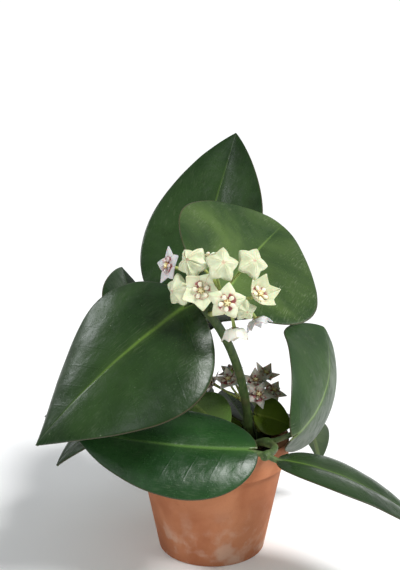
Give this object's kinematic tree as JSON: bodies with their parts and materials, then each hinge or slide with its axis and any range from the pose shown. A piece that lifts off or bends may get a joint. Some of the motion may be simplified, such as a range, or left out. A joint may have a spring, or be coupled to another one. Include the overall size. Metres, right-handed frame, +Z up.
{
  "type": "potted hoya plant",
  "caption": "Flowering wax plant with broad leathery leaves and umbels of star-shaped flowers, growing from soil in a plain clay pot.",
  "frame": {"origin": "middle of the pot's flat base, on the surface it stands on", "axes": "+Z up, -Y towards the side that the flowers and the two largest front leaves lean over"},
  "size_m": [0.2393, 0.2307, 0.2783],
  "materials": {
    "clay": "matte",
    "soil": "matte",
    "vine": "matte",
    "leaf": "satin",
    "young_leaf": "satin",
    "stalk": "satin",
    "petal": "satin",
    "bud": "satin"
  },
  "bodies": {
    "root": {"pot": "clay", "soil": "soil", "vine_front": "vine", "vine_middle": "vine", "vine_right": "vine", "vine_rear": "vine", "vine_trailing": "vine", "leaf_front_left": "leaf", "leaf_front_right": "leaf", "leaf_tall": "leaf", "leaf_right": "leaf", "leaf_low_front": "leaf", "leaf_low_front_right": "leaf", "leaf_left_rear": "leaf", "leaf_small_front": "young_leaf", "leaf_upper_rear": "leaf", "leaf_mid_rear": "leaf", "leaf_mid_left": "leaf", "leaf_low_right_rear": "young_leaf", "leaf_low_right": "leaf", "leaf_dark_right": "leaf", "leaf_dark_centre": "leaf", "leaf_low_rear": "leaf", "leaf_low_left_rear": "leaf", "stalks_front": "stalk", "flower_front_1": "petal", "flower_front_2": "petal", "flower_front_3": "petal", "bud_front_4": "bud", "bud_front_5": "bud", "bud_front_6": "bud", "bud_front_7": "bud", "bud_front_8": "bud", "flower_front_9": "petal", "flower_front_10": "petal", "flower_front_11": "petal", "flower_front_12": "petal", "stalks_rear": "stalk", "flower_rear_1": "petal", "flower_rear_2": "petal", "flower_rear_3": "petal", "flower_rear_4": "petal", "flower_rear_5": "petal", "flower_rear_6": "petal", "flower_rear_7": "petal"}
  },
  "joints": []
}
